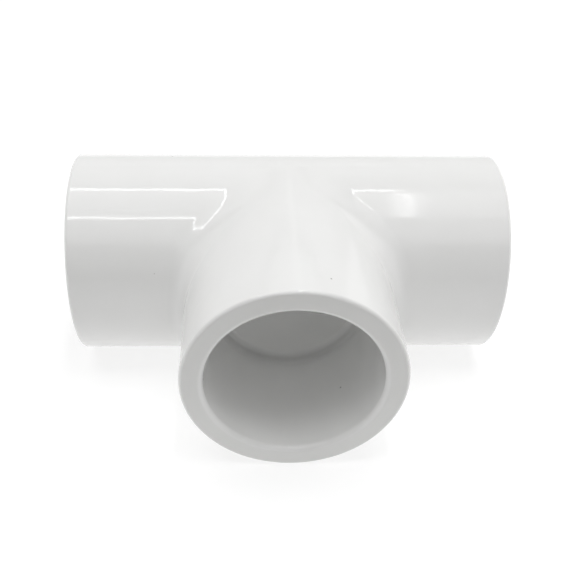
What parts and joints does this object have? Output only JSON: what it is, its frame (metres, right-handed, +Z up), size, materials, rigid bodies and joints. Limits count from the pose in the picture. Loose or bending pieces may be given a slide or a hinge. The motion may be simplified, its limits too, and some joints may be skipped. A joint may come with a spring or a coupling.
{
  "type": "tee fitting",
  "caption": "Equal tee for small pressure pipe: one white plastic moulding with a solvent-weld socket on each end of its run and on its branch.",
  "frame": {"origin": "where the axes of the run and the branch cross, in the middle of the waterway", "axes": "+X along the run, -Y out of the branch socket, +Z up with the fitting lying on its side as pictured"},
  "size_m": [0.0668, 0.0493, 0.0318],
  "materials": {
    "pvc_white": "glossy moulded white plastic, even colour"
  },
  "bodies": {
    "root": {"tee_body": "pvc_white"}
  },
  "joints": []
}
